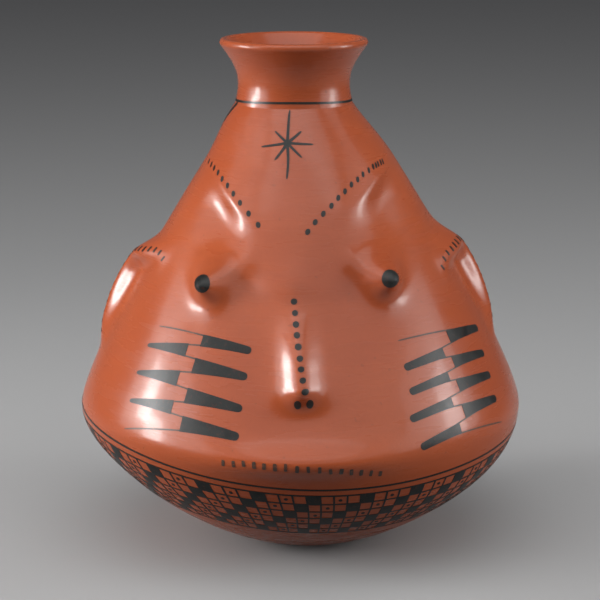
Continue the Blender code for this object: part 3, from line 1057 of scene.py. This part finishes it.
def blended(material, share, first, second):
    """A mix of two colours, each given as a colour or as another node's output."""
    tree = material.node_tree
    node = tree.nodes.new("ShaderNodeMix")
    node.data_type = "RGBA"
    tree.links.new(share, node.inputs["Factor"])
    for name, colour in (("A", first), ("B", second)):
        socket = next(i for i in node.inputs if i.name == name and i.type == "RGBA")
        if isinstance(colour, tuple):
            socket.default_value = colour
        else:
            tree.links.new(colour, socket)
    return next(o for o in node.outputs if o.type == "RGBA")


def added(material, first, second):
    """The sum of two values."""
    tree = material.node_tree
    node = tree.nodes.new("ShaderNodeMath")
    node.operation = "ADD"
    tree.links.new(first, node.inputs[0])
    tree.links.new(second, node.inputs[1])
    return node.outputs["Value"]


def glossy(material, shader, places, socket, full):
    """Gives a shader a gloss that is full on the burnished face and fades out towards the foot."""
    tree = material.node_tree
    axes = tree.nodes.new("ShaderNodeSeparateXYZ")
    tree.links.new(places, axes.inputs["Vector"])
    faded = ranged(material, axes.outputs["Z"], BOWL_GLOSS * full, full, *GLOSS_HEIGHTS)
    shader.inputs[socket].default_value = full
    tree.links.new(faded, shader.inputs[socket])


def roughened(material, shader, height, depth):
    """Lets a value stand out of the surface as fine relief."""
    tree = material.node_tree
    bump = tree.nodes.new("ShaderNodeBump")
    bump.inputs["Distance"].default_value = depth
    tree.links.new(height, bump.inputs["Height"])
    tree.links.new(bump.outputs["Normal"], shader.inputs["Normal"])


def clay_material():
    """Burnished red clay: fire clouds, a fine grain, dark specks scattered at random, and the strokes of
    the burnishing stone.
    """
    material, shader, places = new_finish("burnished_clay", CLAY_ROUGHNESS)
    tree = material.node_tree
    clouds = grain(material, places, CLOUD_SCALE, CLOUD_DETAIL)
    fine = grain(material, places, GRAIN_SCALE, GRAIN_DETAIL)
    strokes = grain(material, places, STROKE_SCALE, STROKE_DETAIL, STROKE_STRETCH)
    specks = grain(material, places, SPECK_SCALE, SPECK_DETAIL)
    colour = blended(material, ranged(material, clouds, 0.0, 1.0), CLAY_DARK, CLAY_LIGHT)
    colour = blended(material, ranged(material, fine, 0.0, GRAIN_SHADE), colour, CLAY_DEEP)
    colour = blended(material, ranged(material, strokes, 0.0, STROKE_SHADE), colour, CLAY_DEEP)
    # Dark specks mixed into the colour at random spots
    colour = blended(material, ranged(material, specks, 0.0, SPECK_DARKNESS, *SPECK_RANGE), colour, CLAY_SPECK)
    tree.links.new(colour, shader.inputs["Base Color"])
    smoothest = CLAY_ROUGHNESS - STROKE_DULLNESS
    roughest = CLAY_ROUGHNESS + STROKE_DULLNESS
    polish = ranged(material, strokes, smoothest, roughest)
    dull = ranged(material, clouds, *CLOUD_DULLNESS)
    tree.links.new(added(material, polish, dull), shader.inputs["Roughness"])
    roughened(material, shader, added(material, strokes, fine), BURNISH_DEPTH)
    glossy(material, shader, places, "Specular IOR Level", CLAY_SPECULAR)
    glossy(material, shader, places, "Coat Weight", CLAY_COAT)
    shader.inputs["Coat Roughness"].default_value = CLAY_COAT_ROUGHNESS
    return material


def slip_material(name, dark, light, worn):
    """Black slip: satin, streaked by the brush, and worn through to the clay in places."""
    material, shader, places = new_finish(name, SLIP_ROUGHNESS)
    tree = material.node_tree
    streaks = grain(material, places, SLIP_STREAK_SCALE, SLIP_STREAK_DETAIL)
    fine = grain(material, places, GRAIN_SCALE, SLIP_GRAIN_DETAIL)
    colour = blended(material, ranged(material, streaks, 0.0, 1.0), dark, light)
    colour = blended(material, ranged(material, fine, 0.0, worn, *SLIP_WORN_RANGE), colour, CLAY_DARK)
    tree.links.new(colour, shader.inputs["Base Color"])
    glossy(material, shader, places, "Specular IOR Level", SLIP_SPECULAR)
    smoothest = SLIP_ROUGHNESS - SLIP_STREAK_DULLNESS
    roughest = SLIP_ROUGHNESS + SLIP_STREAK_DULLNESS
    satin = ranged(material, streaks, smoothest, roughest)
    tree.links.new(satin, shader.inputs["Roughness"])
    roughened(material, shader, fine, BURNISH_DEPTH)
    return material


def turned_to(place, aim):
    """The turn that points a lamp or the camera from a place to an aim."""
    return (Vector(aim) - Vector(place)).to_track_quat("-Z", "Y").to_euler()


def add_floor():
    """A plain pale floor."""
    mesh = bmesh.new()
    bmesh.ops.create_grid(mesh, x_segments=1, y_segments=1, size=0.5 * FLOOR_SIZE)
    data = bpy.data.meshes.new("floor")
    mesh.to_mesh(data)
    mesh.free()
    data.materials.append(floor_material())
    floor = bpy.data.objects.new("floor", data)
    bpy.context.collection.objects.link(floor)


def add_lamps():
    """Soft boxes at both sides, overhead, high in front and high at the sides, and a dim even light."""
    for name, (place, aim, size, spread, power) in LAMPS.items():
        lamp = bpy.data.lights.new(name, "AREA")
        lamp.shape = "RECTANGLE"
        lamp.size = size[0]
        lamp.size_y = size[1]
        lamp.spread = math.radians(spread)
        lamp.energy = power
        holder = bpy.data.objects.new(name, lamp)
        bpy.context.collection.objects.link(holder)
        holder.location = place
        holder.rotation_euler = turned_to(place, aim)
    world = bpy.data.worlds.new("studio")
    world.use_nodes = True
    world.node_tree.nodes["Background"].inputs["Color"].default_value = WORLD_COLOUR
    bpy.context.scene.world = world


def add_camera():
    """The camera, a little above the pot and level with the middle of the face."""
    lens = bpy.data.cameras.new("camera")
    lens.lens = CAMERA_LENS
    lens.sensor_width = SENSOR_WIDTH
    camera = bpy.data.objects.new("camera", lens)
    bpy.context.collection.objects.link(camera)
    camera.location = CAMERA_PLACE
    camera.rotation_euler = turned_to(CAMERA_PLACE, CAMERA_AIM)
    bpy.context.scene.camera = camera


def build():
    """Makes the pot and its studio."""
    add_camera()
    add_lamps()
    add_floor()
    clay = clay_material()
    for piece in clay_walls():
        piece.data.materials.append(clay)
    slip = slip_material("black_slip", SLIP_DARK, SLIP_LIGHT, SLIP_WORN)
    thin_slip = slip_material("thin_slip", THIN_SLIP_DARK, THIN_SLIP_LIGHT, THIN_SLIP_WORN)
    paint(slip, thin_slip)
    bpy.context.scene.view_settings.view_transform = "Standard"


build()
